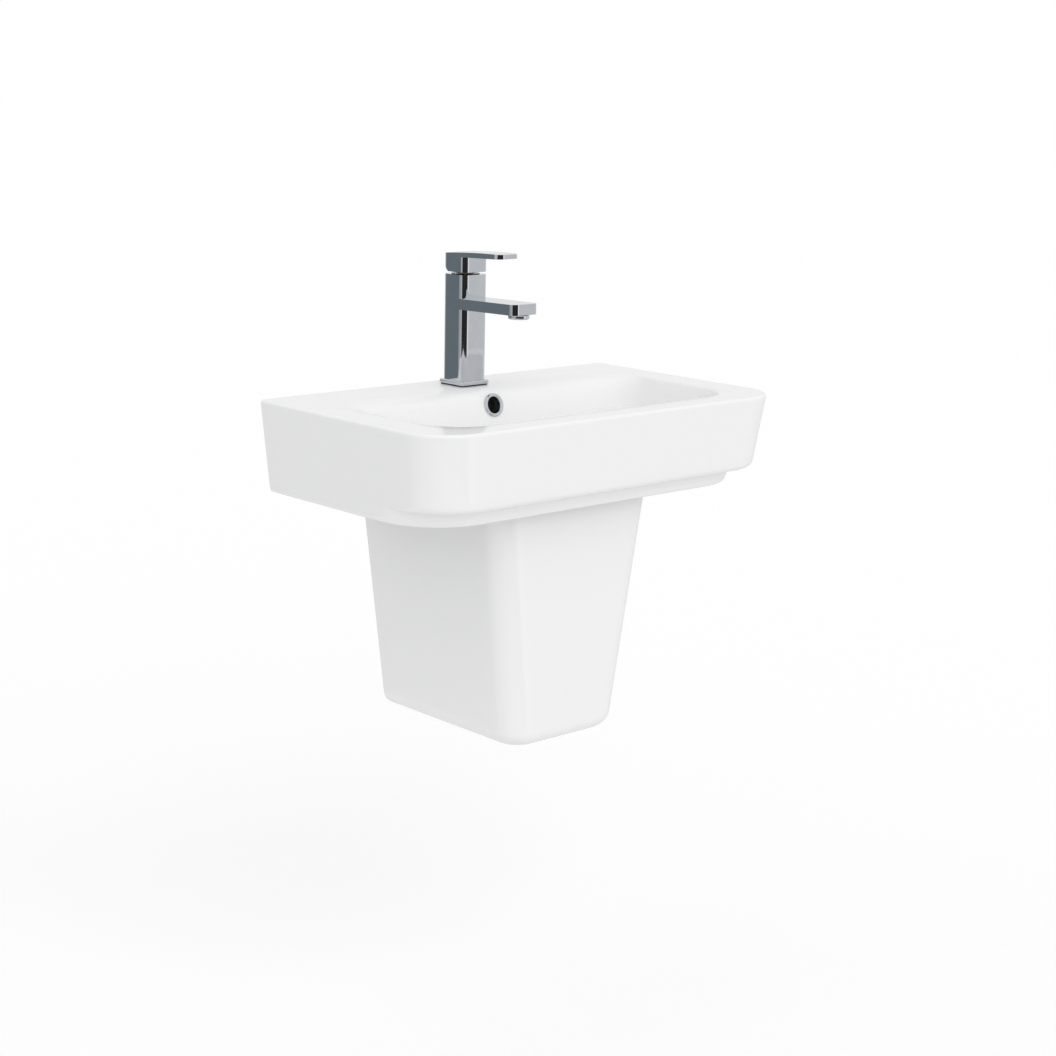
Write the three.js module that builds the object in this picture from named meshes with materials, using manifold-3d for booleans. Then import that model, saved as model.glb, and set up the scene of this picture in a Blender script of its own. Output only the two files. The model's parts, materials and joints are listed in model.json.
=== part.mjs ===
// Wall-hung washbasin with a semi-pedestal, a square single-lever mixer, click-clack waste and bottle trap.
// Millimetres, +Z up, +X to the right seen from the room, the wall is the plane y = 0 and the room is at -Y.
// Heights are counted from the basin's rim; the whole group is then lifted so that the origin is on the
// wall plane, midway between the two basin bolts.

import * as THREE from 'three';
import { mergeVertices } from 'three/addons/utils/BufferGeometryUtils.js';
import Module from 'manifold-3d';

const wasm = await Module();
wasm.setup();

// ---- driving dimensions -------------------------------------------------------------------------------

const gap = 0.3; // clearance between pieces that touch
const over = 1; // how far a cutting tool runs past a face

const basinWidth = 600;
const basinDepth = 358;
const basinHeight = 122;
const tierHeight = 100; // upper tier of the apron, whose lower edge stands proud at the front
const sideTaper = 14.7; // each side leans in by this much over the basin's height
const frontTaper = 11; // lean of the front over the upper tier
const tierSetback = 26; // the lower tier sits this far behind the upper one at the front
const wall = 11; // ceramic thickness
const rearWall = 12;
const rimChamfer = 3;
const rearCorner = 3.5;

const drainY = -200;
const drainSeatZ = -106;
const drainSeatRadius = 33;
const drainBore = 23;
const bossBottom = -128;
const overflowZ = -21;
const overflowHole = 11;
const overflowLean = 14; // degrees: the bowl's rear wall faces slightly upwards

const boltSpacing = 280;
const boltDrop = 80; // bolts below the rim
const lugX = 98; // pedestal bolts from the middle
const lugZ = -215;

const pedestalTop = -124.5;
const pedestalBottom = -443;
const pedestalTopHalf = 136;
const pedestalTopDepth = 281;
const pedestalBottomHalf = 93;
const pedestalBottomDepth = 267;
const pedestalWall = 9;

const tapY = -49;
const tapWidth = 44;
const tapCorner = 9.5; // radius of the tap's upright edges
const tapBodyTop = 148.7;
const tapHoleRadius = 17.5;
const plateWidth = 49.5;
const plateCorner = 5;
const plateTop = 7;
const spoutFront = -172;
const aeratorY = -157;
const aeratorRadius = 14;
const leverBottom = 152;
const leverRear = -27;
const leverTip = -137;
const bladeHalf = 18;
const bladeCorner = 9;
const leverChamferY = 11.6; // the handle's rear lower edge is cut off by this much in depth and in height
const leverChamferZ = 10;
const pivotY = -43;
const pivotZ = 144.5;

const trapOutletZ = -290;
const valveX = 58;
const valveZ = -345;
const valveOutletY = -46;

// ---- finishes -----------------------------------------------------------------------------------------

const finish = (color, roughness, metalness) => ({ color, roughness, metalness });
const ceramic = finish(0xf2f2f0, 0.08, 0);
const chrome = finish(0x8c9298, 0.12, 1);
const darkChrome = finish(0x24272b, 0.25, 1);
const brass = finish(0xb08d4a, 0.35, 1);
const steel = finish(0xa8aaac, 0.4, 1);
const rubber = finish(0x1d1d1d, 0.8, 0);
const nylon = finish(0xe8e6df, 0.5, 0);
const acetal = finish(0x2f5f9a, 0.4, 0);
const braid = finish(0x9a9ea2, 0.45, 1);

// ---- solids: three.js shapes, joined and cut by manifold ------------------------------------------------

const basin = new THREE.Group();
basin.position.z = boltDrop;

function toSolid(geometry) {
  const bare = geometry.clone();
  bare.deleteAttribute('normal');
  bare.deleteAttribute('uv');
  const merged = mergeVertices(bare, 1e-4);
  const index = merged.index ? merged.index.array : [...Array(merged.attributes.position.count).keys()];
  const mesh = new wasm.Mesh({
    numProp: 3,
    vertProperties: Float32Array.from(merged.attributes.position.array),
    triVerts: Uint32Array.from(index),
  });
  return new wasm.Manifold(mesh);
}

function toGeometry(solid) {
  const mesh = solid.getMesh();
  const geometry = new THREE.BufferGeometry();
  geometry.setAttribute('position', new THREE.BufferAttribute(Float32Array.from(mesh.vertProperties), 3));
  geometry.setIndex(new THREE.BufferAttribute(Uint32Array.from(mesh.triVerts), 1));
  geometry.computeVertexNormals();
  return geometry;
}

const join = (first, ...rest) =>
  toGeometry(rest.reduce((sum, next) => sum.add(toSolid(next)), toSolid(first)));
const common = (first, second) => toGeometry(toSolid(first).intersect(toSolid(second)));
const cut = (first, ...tools) =>
  toGeometry(tools.reduce((rest, tool) => rest.subtract(toSolid(tool)), toSolid(first)));

function place(name, geometry, surface, parent = basin) {
  const mesh = new THREE.Mesh(geometry, new THREE.MeshStandardMaterial(surface));
  mesh.name = name;
  parent.add(mesh);
  return mesh;
}

// A closed ring of points: a rectangle with round front corners (towards -Y) and round rear corners.
function outline({ half, front, rear, frontRadius, rearRadius = frontRadius }, steps = 6) {
  const corners = [
    [half, rear, rearRadius, 0],
    [-half, rear, rearRadius, 1],
    [-half, front, frontRadius, 2],
    [half, front, frontRadius, 3],
  ];
  return corners.flatMap(([x, y, radius, quarter]) => {
    const cx = x - Math.sign(x) * radius;
    const cy = quarter < 2 ? y - radius : y + radius;
    return Array.from({ length: steps + 1 }, (_, i) => {
      const angle = (quarter + i / steps) * Math.PI / 2;
      return new THREE.Vector2(cx + radius * Math.cos(angle), cy + radius * Math.sin(angle));
    });
  });
}

// Skin over a stack of outlines that all have the same number of points, closed at both ends.
function loft(levels, steps = 6) {
  const stack = levels.map((level) => ({ z: level.z, ring: outline(level, steps) }));
  stack.sort((a, b) => a.z - b.z);
  const count = stack[0].ring.length;
  const positions = stack.flatMap(({ z, ring }) => ring.flatMap((p) => [p.x, p.y, z]));
  const triangles = [];
  for (let level = 0; level + 1 < stack.length; level++) {
    for (let i = 0; i < count; i++) {
      const a = level * count + i;
      const b = level * count + (i + 1) % count;
      triangles.push(a, b, b + count, a, b + count, a + count);
    }
  }
  const top = (stack.length - 1) * count;
  for (const [a, b, c] of THREE.ShapeUtils.triangulateShape(stack[0].ring, [])) triangles.push(a, c, b);
  for (const [a, b, c] of THREE.ShapeUtils.triangulateShape(stack.at(-1).ring, [])) {
    triangles.push(top + a, top + b, top + c);
  }
  const geometry = new THREE.BufferGeometry();
  geometry.setAttribute('position', new THREE.Float32BufferAttribute(positions, 3));
  geometry.setIndex(triangles);
  return geometry;
}

const block = (x0, x1, y0, y1, z0, z1) =>
  new THREE.BoxGeometry(x1 - x0, y1 - y0, z1 - z0).translate((x0 + x1) / 2, (y0 + y1) / 2, (z0 + z1) / 2);

// Round bar along Z from z0 to z1.
const post = (x, y, z0, z1, radius, sides = 18) =>
  new THREE.CylinderGeometry(radius, radius, z1 - z0, sides).rotateX(Math.PI / 2)
    .translate(x, y, (z0 + z1) / 2);

// Round bar along Y from y0 to y1.
const spindle = (x, z, y0, y1, radius, sides = 18) =>
  new THREE.CylinderGeometry(radius, radius, y1 - y0, sides).translate(x, (y0 + y1) / 2, z);

// Body of revolution about the Y axis: the profile lists [radius, height] and either runs from axis to axis
// or closes on itself. It is walked anticlockwise, so that the faces point out.
function lathe(profile, sides) {
  const points = profile.map(([radius, height]) => new THREE.Vector2(radius, height));
  if (THREE.ShapeUtils.area(points) < 0) points.reverse();
  const solidCore = points[0].x === 0 && points.at(-1).x === 0;
  return new THREE.LatheGeometry(solidCore ? points : [...points, points[0]], sides);
}
const turned = (x, y, profile, sides = 20) => lathe(profile, sides).rotateX(Math.PI / 2).translate(x, y, 0);
const turnedAlongY = (x, z, profile, sides = 20) => lathe(profile, sides).translate(x, 0, z);

// A side profile of [y, z] points, as wide as x0 to x1.
function profileAcross(points, x0, x1) {
  const shape = new THREE.Shape(points.map(([y, z]) => new THREE.Vector2(y, z)));
  const geometry = new THREE.ExtrudeGeometry(shape, { depth: x1 - x0, bevelEnabled: false });
  const turn = new THREE.Matrix4().makeBasis(
    new THREE.Vector3(0, 1, 0), new THREE.Vector3(0, 0, 1), new THREE.Vector3(1, 0, 0),
  );
  return geometry.applyMatrix4(turn).translate(x0, 0, 0);
}

// ---- basin ----------------------------------------------------------------------------------------------

const lean = (z) => -sideTaper * -z / basinHeight; // how far a side has leaned in at height z
const upperLevel = (z, inset = 0) => ({
  z,
  half: basinWidth / 2 + lean(z) - inset,
  front: -basinDepth - frontTaper * z / tierHeight + inset,
  rear: 0,
  frontRadius: 60 - inset,
  rearRadius: rearCorner,
});
const lowerLevel = (z, inset = 0) => ({
  z,
  half: basinWidth / 2 + lean(z) - inset,
  front: -basinDepth + frontTaper + tierSetback + 3 * (-z - tierHeight) / (basinHeight - tierHeight) + inset,
  rear: 0,
  frontRadius: 90 - inset,
  rearRadius: rearCorner,
});

// The bowl's inner surface, from the rim down to the seat of the waste.
const bowlLevels = [
  { z: 0, half: 252, front: -321, rear: -80, frontRadius: 65, rearRadius: 40 },
  { z: -1.5, half: 250.5, front: -320, rear: -92, frontRadius: 64, rearRadius: 42 },
  { z: -4, half: 250, front: -319.5, rear: -99, frontRadius: 64, rearRadius: 43 },
  { z: -9, half: 249, front: -318.5, rear: -105.5, frontRadius: 63, rearRadius: 44 },
  { z: -30, half: 247, front: -316, rear: -112, frontRadius: 62, rearRadius: 46 },
  { z: -50, half: 243, front: -311, rear: -117, frontRadius: 60, rearRadius: 46 },
  { z: -65, half: 237, front: -303, rear: -122, frontRadius: 56, rearRadius: 46 },
  { z: -78, half: 225, front: -289, rear: -129, frontRadius: 52, rearRadius: 46 },
  { z: -88, half: 205, front: -268, rear: -140, frontRadius: 48, rearRadius: 44 },
  { z: -96, half: 150, front: -248, rear: -153, frontRadius: 44, rearRadius: 44 },
  { z: -103, half: 70, front: -238, rear: -162, frontRadius: 37.5, rearRadius: 37.5 },
  {
    z: drainSeatZ,
    half: drainSeatRadius,
    front: drainY - drainSeatRadius,
    rear: drainY + drainSeatRadius,
    frontRadius: drainSeatRadius - 0.2,
  },
];
const mouth = { ...bowlLevels[0], z: over };
const thicken = (level) => ({
  z: level.z - (level.z > -60 ? 0 : wall),
  half: level.half + wall,
  front: level.front - wall,
  rear: level.rear + wall,
  frontRadius: level.frontRadius + wall,
  rearRadius: (level.rearRadius ?? level.frontRadius) + wall,
});
const underside = bowlLevels.filter(({ z }) => z < -5).map(thicken);
underside.at(-1).z = bossBottom;

const apron = join(
  loft([{ ...upperLevel(0, rimChamfer), rear: -rimChamfer }, upperLevel(-rimChamfer), upperLevel(-tierHeight)]),
  loft([lowerLevel(-tierHeight + over), lowerLevel(-basinHeight)]),
);
const hollowUpper = loft([
  { ...upperLevel(-wall, wall), rear: -rearWall },
  { ...upperLevel(wall - tierHeight, wall), rear: -rearWall },
]);
const hollowLower = loft([
  { ...lowerLevel(wall - tierHeight - over + 2, wall), rear: -rearWall },
  { ...lowerLevel(-basinHeight - over, wall), rear: -rearWall },
]);

// Overflow duct behind and under the bowl: [y, z] along its outer and inner skin.
const ductOuter = [[-80, -5], [-82, -64], [-89, -84], [-98, -104], [-122, -121], [-172, bossBottom],
  [-190, bossBottom], [-190, -108], [-150, -104], [-115, -60], [-110, -5]];
const ductInner = [[-98, -9], [-100, -60], [-106, -76], [-115, -92], [-130, -104], [-168, -112.5], [-190, -112.5],
  [-190, -122], [-168, -122], [-126, -113], [-105, -98], [-97, -80], [-91, -62], [-89, -9]];

// Moves a piece made about the origin into the overflow, tipped back with the bowl's wall.
const overflowY = -109.5;
const leaning = (geometry) =>
  geometry.rotateX(THREE.MathUtils.degToRad(-overflowLean)).translate(0, overflowY, overflowZ);

const basinSolid = cut(
  join(cut(apron, hollowUpper, hollowLower), loft(underside), profileAcross(ductOuter, -23, 23)),
  loft([mouth, ...bowlLevels]),
  profileAcross(ductInner, -14, 14),
  leaning(spindle(0, 0, -14, 15, overflowHole, 20)),
  post(0, drainY, bossBottom - over, drainSeatZ + over, drainBore),
  post(0, tapY, -30, over, tapHoleRadius),
  ...[-1, 1].map((side) => spindle(side * boltSpacing / 2, -boltDrop, -rearWall - over, over, 8, 20)),
);
place('basin', basinSolid, ceramic);

// Trim ring pressed into the overflow hole.
place('overflow_ring', leaning(turnedAlongY(0, 0, [
  [10.6, 9], [10.6, -1.4], [16, -1.4], [16, -2.6], [15, -3.4], [9.2, -3.4], [9.2, 9],
], 24)), chrome);

// ---- semi-pedestal --------------------------------------------------------------------------------------

function pedestalLevel(z, inset = 0, radius = 34) {
  const t = (pedestalTop - z) / (pedestalTop - pedestalBottom);
  return {
    z,
    half: THREE.MathUtils.lerp(pedestalTopHalf, pedestalBottomHalf, t) - inset,
    front: -THREE.MathUtils.lerp(pedestalTopDepth, pedestalBottomDepth, t) + inset,
    rear: 0,
    frontRadius: radius - inset,
    rearRadius: 1,
  };
}
const pedestalHollow = loft([
  { ...pedestalLevel(pedestalTop + over, pedestalWall), rear: over },
  { ...pedestalLevel(pedestalBottom + 22, pedestalWall), rear: over },
  { ...pedestalLevel(pedestalBottom + 13, pedestalWall + 4), rear: over },
  { ...pedestalLevel(pedestalBottom + 10, pedestalWall + 10), rear: over },
]);
const pedestalSkin = loft([
  pedestalLevel(pedestalTop),
  pedestalLevel(pedestalBottom + 14),
  { ...pedestalLevel(pedestalBottom + 4, 4), rear: 0 },
  { ...pedestalLevel(pedestalBottom, 12), rear: 0 },
]);
const lugHeight = 44;
const lugThickness = 11;
const lugs = [-1, 1].map((side) => {
  const outer = pedestalLevel(lugZ).half - pedestalWall / 2;
  const inner = lugX - 16;
  const [x0, x1] = side < 0 ? [-outer, -inner] : [inner, outer];
  return block(x0, x1, -lugThickness, 0, lugZ - lugHeight / 2, lugZ + lugHeight / 2);
});
place('semi_pedestal', cut(
  join(cut(pedestalSkin, pedestalHollow), ...lugs),
  ...[-1, 1].map((side) => spindle(side * lugX, lugZ, -lugThickness - over, over, 5.5, 20)),
), ceramic);

// ---- wall fixings: each stack stands on the wall plane and ends in its nut ----------------------------------

function ringAlongY(x, z, y0, y1, inner, outer, sides = 14) {
  return turnedAlongY(x, z, [[inner, y0], [outer, y0], [outer, y1], [inner, y1]], sides);
}
function nutAlongY(x, z, y0, y1, acrossFlats, hole) {
  const body = spindle(x, z, y0, y1, acrossFlats / Math.sqrt(3), 6);
  return cut(body, spindle(x, z, y0 - over, y1 + over, hole, 16));
}

for (const [side, label] of [[-1, 'left'], [1, 'right']]) {
  const x = side * boltSpacing / 2;
  const z = -boltDrop;
  place(`basin_bolt_${label}`, spindle(x, z, -48, 0, 5, 16), steel);
  place(`basin_bush_${label}`, turnedAlongY(x, z, [
    [5.3, -15.5], [14, -15.5], [14, -rearWall - gap], [7.6, -rearWall - gap], [7.6, -1], [5.3, -1],
  ], 14), nylon);
  place(`basin_washer_${label}`, ringAlongY(x, z, -17.8, -15.8, 5.4, 12.5), steel);
  place(`basin_nut_${label}`, nutAlongY(x, z, -26.4, -18.1, 17, 5.3), steel);

  const lug = side * lugX;
  place(`pedestal_bolt_${label}`, spindle(lug, lugZ, -30, 0, 4, 16), steel);
  place(`pedestal_washer_${label}`, ringAlongY(lug, lugZ, -13.1, -lugThickness - gap, 4.4, 10), nylon);
  place(`pedestal_nut_${label}`, nutAlongY(lug, lugZ, -20, -13.4, 13, 4.3), steel);
}

// ---- tap: body, base and spout ---------------------------------------------------------------------------

const tapHalf = tapWidth / 2;
const squareAt = (z, half, radius) => ({
  z, half, front: tapY - half, rear: tapY + half, frontRadius: radius,
});
const chamberRadius = 14;

place('tap_gasket', cut(
  loft([squareAt(0.2, plateWidth / 2 - 1, plateCorner), squareAt(1.2, plateWidth / 2 - 1, plateCorner)], 3),
  post(0, tapY, -over, 3, 16.5),
), rubber);
place('tap_base_plate', cut(
  loft([squareAt(1.5, plateWidth / 2, plateCorner), squareAt(plateTop - 1, plateWidth / 2, plateCorner),
    squareAt(plateTop, plateWidth / 2 - 1, plateCorner - 1)], 3),
  loft([squareAt(0, tapHalf + gap, tapCorner), squareAt(plateTop + over, tapHalf + gap, tapCorner)], 4),
), chrome);

const spoutTop = 117.2;
const spoutBottom = 103;
const spoutRise = 2; // the spout climbs this much from the body to its tip
const spoutRoot = tapY - tapHalf + tapCorner; // where the body's flat sides end
const spoutShape = [[spoutRoot, spoutBottom], [spoutRoot, spoutTop], [spoutFront, spoutTop + spoutRise],
  [spoutFront, spoutBottom + spoutRise]];
// What is taken off a bar's two front corners to round them, between heights z0 and z1.
const cornerCut = (half, front, radius, z0, z1) => [-1, 1].map((side) => {
  const shape = new THREE.Shape();
  const centreX = side * (half - radius);
  shape.moveTo(centreX, front - over);
  shape.lineTo(centreX, front);
  shape.absarc(centreX, front + radius, radius, -Math.PI / 2, side > 0 ? 0 : -Math.PI, side < 0);
  shape.lineTo(side * (half + over), front + radius);
  shape.lineTo(side * (half + over), front - over);
  const geometry = new THREE.ExtrudeGeometry(shape, { depth: z1 - z0, bevelEnabled: false, curveSegments: 5 });
  return geometry.translate(0, 0, z0);
});
const waterwayZ = 111;
place('tap_body', cut(
  join(
    loft([squareAt(1.5, tapHalf, tapCorner), squareAt(tapBodyTop, tapHalf, tapCorner)], 4),
    cut(
      profileAcross(spoutShape, -tapHalf, tapHalf),
      ...cornerCut(tapHalf, spoutFront, tapCorner, spoutBottom - over, spoutTop + spoutRise + over),
    ),
  ),
  post(0, tapY, 100, tapBodyTop + over, chamberRadius), // cartridge chamber
  post(0, tapY, 0, 32, chamberRadius), // socket for the hose tails and the stud
  ...[-1, 1].map((side) => post(side * 6.5, tapY - 2, 31, 101, 3, 12)), // hot and cold ways
  post(0, aeratorY, 90, waterwayZ + 3, 11.6), // aerator chamber
  spindle(0, waterwayZ, aeratorY, tapY, 4, 12), // way to the spout's end
), chrome);

// ---- aerator -----------------------------------------------------------------------------------------------

const spoutUnder = spoutBottom + spoutRise * (spoutRoot - aeratorY) / (spoutRoot - spoutFront);
place('aerator_housing', turned(0, aeratorY, [
  [aeratorRadius, 98.6], [aeratorRadius, spoutUnder - 0.6], [11.3, spoutUnder - 0.6], [11.3, 110.5],
  [9.8, 110.5], [9.8, 98.6],
]), chrome);
place('aerator_insert', cut(
  post(0, aeratorY, 99.4, 108.5, 9.4, 18),
  ...[-4, 0, 4].flatMap((x) => [-4, 0, 4].map((y) => post(x, aeratorY + y, 98, 110, 1.2, 5))),
), nylon);

// ---- cartridge and lever ------------------------------------------------------------------------------------

const pinAt = (radius, half = 12) =>
  new THREE.CylinderGeometry(radius, radius, 2 * half, 10).rotateZ(Math.PI / 2).translate(0, pivotY, pivotZ);

place('cartridge_body', cut(
  turned(0, tapY, [[0, 104], [13.6, 104], [13.6, 139], [0, 139]], 24),
  post(0, tapY, 128, 140, 10.4),
  ...[-1, 1].map((side) => post(side * 6.5, tapY - 2, 103, 126, 2.6, 10)),
), nylon);
const nutBore = 12.2;
const nutTop = tapBodyTop + 0.8; // low enough for the lever's rear edge, which dips as the blade is lifted
place('cartridge_nut', turned(0, tapY, [
  [nutBore, 139.3], [13.7, 139.3], [13.7, tapBodyTop + gap], [19.2, tapBodyTop + gap],
  [19.2, nutTop - 0.2], [18.6, nutTop], [nutBore, nutTop],
], 24), darkChrome);
place('cartridge_spindle', cut(
  post(0, tapY, 128.3, 147.6, 10.1, 20),
  block(-4.4, 4.4, tapY - 9, tapY + 12, 134.5, 148),
  pinAt(1.4),
), acetal);
place('lever_pin', pinAt(1.1, 7.5), steel);

const stemHalf = 4;
const stemFront = tapY - 3;
const stemRear = tapY + 9;
place('lever_stem', cut(
  block(-stemHalf, stemHalf, stemFront, stemRear, 137, 166),
  pinAt(1.4),
), brass);

const bladeRoot = 172.6; // underside of the blade where it leaves the block
const leverShape = new THREE.Shape();
leverShape.moveTo(leverRear - leverChamferY, leverBottom);
leverShape.lineTo(leverRear, leverBottom + leverChamferZ);
leverShape.lineTo(leverRear, bladeRoot + 3.2);
leverShape.quadraticCurveTo(tapY - 40, bladeRoot + 8.8, leverTip, bladeRoot + 8);
leverShape.lineTo(leverTip, bladeRoot + 2);
leverShape.lineTo(tapY - tapHalf, bladeRoot);
leverShape.lineTo(tapY - tapHalf, leverBottom);
const leverPoints = leverShape.getPoints(6).map((p) => [p.x, p.y]);
// Plan of the handle: round upright edges on the block, and a blade that narrows to a round-cornered tip.
const leverPlan = new THREE.Shape();
const blockRear = { x: tapHalf - tapCorner, y: leverRear - tapCorner };
const tipCentre = { x: bladeHalf - bladeCorner, y: leverTip + bladeCorner };
leverPlan.absarc(blockRear.x, blockRear.y, tapCorner, 0, Math.PI / 2);
leverPlan.absarc(-blockRear.x, blockRear.y, tapCorner, Math.PI / 2, Math.PI);
leverPlan.lineTo(-tapHalf, tapY - tapHalf + tapCorner);
leverPlan.absarc(-tipCentre.x, tipCentre.y, bladeCorner, Math.PI, 1.5 * Math.PI);
leverPlan.absarc(tipCentre.x, tipCentre.y, bladeCorner, 1.5 * Math.PI, 2 * Math.PI);
leverPlan.lineTo(tapHalf, tapY - tapHalf + tapCorner);
const leverColumn = new THREE.ExtrudeGeometry(leverPlan, { depth: 40, bevelEnabled: false, curveSegments: 4 })
  .translate(0, 0, leverBottom - over);
place('lever_handle', cut(
  common(profileAcross(leverPoints, -tapHalf - over, tapHalf + over), leverColumn),
  ...cornerCut(tapHalf, tapY - tapHalf, tapCorner, leverBottom - over, bladeRoot),
  block(-stemHalf - gap, stemHalf + gap, stemFront - gap, stemRear + gap, 150, 166.5),
  spindle(0, 160, stemRear, leverRear + over, 2.8, 12),
), chrome);
place('lever_grub_screw', spindle(0, 160, stemRear + 0.4, leverRear - 3.6, 2.5, 12), steel);
place('lever_screw_cap', spindle(0, 160, leverRear - 3.3, leverRear + 0.2, 2.5, 12), nylon);

// ---- clamp under the deck -----------------------------------------------------------------------------------

const studY = tapY + 10;
const openRing = (z0, z1) => cut(
  post(0, tapY, z0, z1, 21),
  block(-11.5, 11.5, tapY - 22, tapY + 5, z0 - over, z1 + over),
  post(0, studY, z0 - over, z1 + over, 3.4, 12),
);
place('tap_stud', post(0, studY, -52, 31.5, 3, 14), steel);
place('tap_clamp_seal', openRing(-14.6, -wall - gap), rubber);
place('tap_clamp_plate', openRing(-17.2, -14.9), steel);
place('tap_clamp_nut', cut(post(0, studY, -30, -17.5, 7.5, 6), post(0, studY, -31, -17, 3.3, 14)), brass);

// ---- angle valves and supply hoses ----------------------------------------------------------------------------

const hoseRadius = 4.5;
for (const [side, label] of [[-1, 'hot'], [1, 'cold']]) {
  const x = side * valveX;
  place(`valve_rosette_${label}`, turnedAlongY(x, valveZ, [
    [8.6, -0.3], [27, -0.3], [27, -2], [20, -8], [8.6, -8],
  ]), chrome);
  place(`valve_body_${label}`, cut(
    join(
      spindle(x, valveZ, -32, 0, 8.2, 20),
      spindle(x, valveZ, -60, -30, 12),
      post(x, valveOutletY, valveZ, valveZ + 22, 7.5, 20),
    ),
    spindle(x, valveZ, -50, over, 5, 14),
    post(x, valveOutletY, valveZ, valveZ + 23, 4.4, 14),
    spindle(x, valveZ, -61, -52, 5, 14),
  ), chrome);
  place(`valve_knob_${label}`, join(
    spindle(x, valveZ, -61, -52.3, 4.6, 14),
    spindle(x, valveZ, -82, -60.6, 14, 20),
    block(x - 3, x + 3, -84, -70, valveZ - 17, valveZ + 17),
  ), chrome);
  place(`hose_nut_${label}`, cut(
    post(x, valveOutletY, valveZ + 16, valveZ + 30, 11, 6),
    post(x, valveOutletY, valveZ + 15, valveZ + 22.4, 7.8, 20),
    post(x, valveOutletY, valveZ + 14, valveZ + 31, 4.9, 16),
  ), chrome);

  const tailX = side * 6.2;
  const route = new THREE.CatmullRomCurve3([
    new THREE.Vector3(x, valveOutletY, valveZ + 22.8),
    new THREE.Vector3(x, valveOutletY, valveZ + 45),
    new THREE.Vector3(x * 1.02, valveOutletY - 4, valveZ + 100),
    new THREE.Vector3(x * 0.75, valveOutletY - 14, valveZ + 165),
    new THREE.Vector3(x * 0.36, valveOutletY - 10, valveZ + 220),
    new THREE.Vector3(tailX * 1.3, tapY - 5, valveZ + 262),
    new THREE.Vector3(tailX, tapY - 4, -45),
    new THREE.Vector3(tailX, tapY - 4, -22),
  ]);
  const section = new THREE.Shape().absarc(0, 0, hoseRadius, 0, Math.PI * 2);
  place(`supply_hose_${label}`, new THREE.ExtrudeGeometry(section, {
    steps: 20, curveSegments: 4, extrudePath: route,
  }), braid);
  place(`hose_tail_${label}`, join(
    post(tailX, tapY - 4, -21.6, -3, 5, 16),
    post(tailX, tapY - 4, -3.5, 30, 4.6, 16),
  ), brass);
}

// ---- pop-up waste ------------------------------------------------------------------------------------------

const wasteBottom = -178;
place('waste_seal', turned(0, drainY, [
  [24, drainSeatZ + 0.3], [31, drainSeatZ + 0.3], [31, drainSeatZ + 2], [24, drainSeatZ + 2],
]), rubber);
place('waste_body', cut(
  turned(0, drainY, [
    [19, wasteBottom], [21, wasteBottom], [21, drainSeatZ + 2.3], [32, drainSeatZ + 2.3], [32, drainSeatZ + 3.6],
    [29.5, drainSeatZ + 5], [26.8, drainSeatZ + 5], [24.5, drainSeatZ + 3.6], [19, drainSeatZ + 3.6],
  ], 24),
  block(-22, 22, drainY - 5, drainY + 5, -121, -113), // overflow water enters here
), chrome);
place('waste_bridge', cut(
  join(
    post(0, drainY, -150, -146, 18.7, 20),
    post(0, drainY, -150, -134, 6, 12),
  ),
  ...[0, 1, 2, 3].map((i) => post(12.4 * Math.cos(i * Math.PI / 2), drainY + 12.4 * Math.sin(i * Math.PI / 2),
    -151, -145, 4.4, 8)),
  post(0, drainY, -151, -133, 3.6, 14),
), nylon);
place('waste_plug', turned(0, drainY, [
  [0, drainSeatZ + 4.4], [22, drainSeatZ + 4.4], [24, drainSeatZ + 6.2], [30, drainSeatZ + 6.2],
  [31.2, drainSeatZ + 7.6], [30, drainSeatZ + 9.2], [0, drainSeatZ + 10],
], 24), chrome);
place('waste_plug_stem', post(0, drainY, -146, drainSeatZ + 4.1, 3.2, 14), steel);
place('waste_under_seal', turned(0, drainY, [
  [21.4, -134], [30, -134], [33, bossBottom - gap], [21.4, bossBottom - gap],
]), rubber);
place('waste_nut', cut(
  post(0, drainY, -144, -134.3, 32, 6),
  post(0, drainY, -145, -133, 21.8),
), brass);

// ---- bottle trap ---------------------------------------------------------------------------------------------

const bottleRadius = 30;
place('trap_inlet_nut', turned(0, drainY, [
  [21.4, -166], [25.5, -166], [25.5, -188], [16.4, -188], [16.4, -181], [21.4, -181],
]), chrome);
place('trap_inlet_pipe', turned(0, drainY, [
  [14.4, -320], [16, -320], [16, -180.7], [20.8, -180.7], [20.8, -178.3], [14.4, -178.3],
]), chrome);
const bottleTop = -262;
const bottleSplit = -318;
place('trap_body', cut(
  join(
    turned(0, drainY, [
      [16.3, bottleTop + 16], [21, bottleTop + 16], [21, bottleTop], [bottleRadius, bottleTop - 5],
      [bottleRadius, bottleSplit], [26.5, bottleSplit], [26.5, bottleTop - 8], [16.3, bottleTop - 4],
    ], 24),
    spindle(0, trapOutletZ, drainY + 27, drainY + 48, 19),
  ),
  spindle(0, trapOutletZ, drainY + 20, drainY + 49, 16.4),
), chrome);
place('trap_cup', turned(0, drainY, [
  [0, -352], [24, -352], [bottleRadius, -346], [bottleRadius, -331], [31.5, -331], [31.5, bottleSplit - 0.4],
  [26.6, bottleSplit - 0.4], [26.6, -342], [22, -348], [0, -348],
], 24), chrome);
place('trap_outlet_nut', turnedAlongY(0, trapOutletZ, [
  [16.3, drainY + 48.4], [22.5, drainY + 48.4], [22.5, drainY + 66], [16.3, drainY + 66],
]), chrome);
place('trap_outlet_pipe', turnedAlongY(0, trapOutletZ, [
  [14.4, drainY + 32], [16, drainY + 32], [16, 0], [14.4, 0],
]), chrome);
place('trap_rosette', turnedAlongY(0, trapOutletZ, [
  [16.4, -0.3], [35, -0.3], [35, -2], [27, -10], [16.4, -10],
]), chrome);

export default basin;
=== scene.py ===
import json
import math

import bmesh
import bpy
from mathutils import Matrix, Vector


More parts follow.
